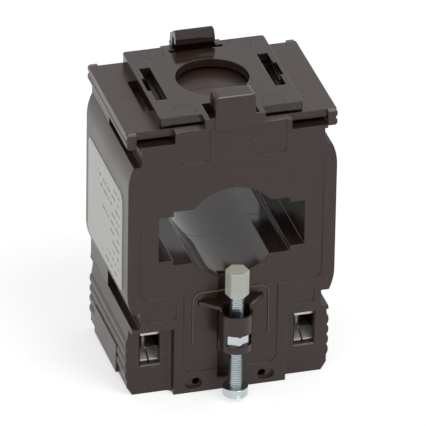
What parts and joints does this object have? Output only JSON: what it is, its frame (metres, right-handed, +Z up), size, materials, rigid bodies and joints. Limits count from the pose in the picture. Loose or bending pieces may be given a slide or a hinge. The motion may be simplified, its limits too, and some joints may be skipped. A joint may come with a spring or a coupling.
{
  "type": "current transformer",
  "caption": "Moulded low-voltage current transformer with a stepped window for cable or flat bar, screw terminals, a bar-locking screw and a hooked rail clip.",
  "frame": {"origin": "centre of the flat base, on the surface that it stands on", "axes": "+Z up through the window to the rail clip, -Y out of the front face with the bar-locking screw, +X to the right seen from the front"},
  "size_m": [0.058, 0.0538, 0.091],
  "materials": {
    "case_plastic": "dark brown moulded plastic, semi-gloss",
    "clip_plastic": "dark brown moulded plastic, semi-gloss",
    "bracket_plastic": "dark brown moulded plastic, semi-gloss",
    "nylon": "natural cream nylon, satin",
    "zinc_steel": "bright zinc-plated steel",
    "terminal_steel": "nickel-plated steel",
    "core_steel": "wound strip core in an insulating coat",
    "copper_winding": "enamelled copper wire",
    "label_film": null
  },
  "bodies": {
    "case": {"front_shell": "case_plastic", "rear_shell": "case_plastic", "ring_core": "core_steel", "secondary_winding": "copper_winding", "secondary_lead_left": "copper_winding", "secondary_lead_right": "copper_winding", "terminal_bar_left": "terminal_steel", "terminal_bar_right": "terminal_steel", "clamp_bracket": "bracket_plastic", "clamp_nut": "zinc_steel", "rail_clip": "clip_plastic", "rating_label": "label_film"},
    "clamp_tip": {"clamp_tip": "nylon"},
    "clamp_screw": {"clamp_screw": "zinc_steel"},
    "terminal_saddle_left": {"terminal_saddle_left": "terminal_steel"},
    "terminal_screw_left": {"terminal_screw_left": "terminal_steel"},
    "terminal_saddle_right": {"terminal_saddle_right": "terminal_steel"},
    "terminal_screw_right": {"terminal_screw_right": "terminal_steel"}
  },
  "joints": [
    {"name": "clamp_tip_travel", "type": "slide", "parent": "case", "child": "clamp_tip", "axis": [0, 0, 1], "range_m": [-0.0105, 0.0115]},
    {"name": "clamp_screw_turn", "type": "hinge", "parent": "clamp_tip", "child": "clamp_screw", "pos_m": [0, -0.027, 0.0325], "axis": [0, 0, 1], "range_deg": [-5401, 5916]},
    {"name": "terminal_saddle_left_travel", "type": "slide", "parent": "case", "child": "terminal_saddle_left", "axis": [0, 0, 1], "range_m": [0, 0.005]},
    {"name": "terminal_screw_left_turn", "type": "hinge", "parent": "terminal_saddle_left", "child": "terminal_screw_left", "pos_m": [-0.02159, -0.01045, 0.0094], "axis": [0, 0, 1], "range_deg": [0, 3601]},
    {"name": "terminal_saddle_right_travel", "type": "slide", "parent": "case", "child": "terminal_saddle_right", "axis": [0, 0, 1], "range_m": [0, 0.005]},
    {"name": "terminal_screw_right_turn", "type": "hinge", "parent": "terminal_saddle_right", "child": "terminal_screw_right", "pos_m": [0.02159, -0.01045, 0.0094], "axis": [0, 0, 1], "range_deg": [0, 3601]}
  ],
  "couplings": [
    {"joint": "clamp_screw_turn", "follows": "clamp_tip_travel", "rad_per_m": 8976},
    {"joint": "terminal_screw_left_turn", "follows": "terminal_saddle_left_travel", "rad_per_m": 12566},
    {"joint": "terminal_screw_right_turn", "follows": "terminal_saddle_right_travel", "rad_per_m": 12566}
  ]
}
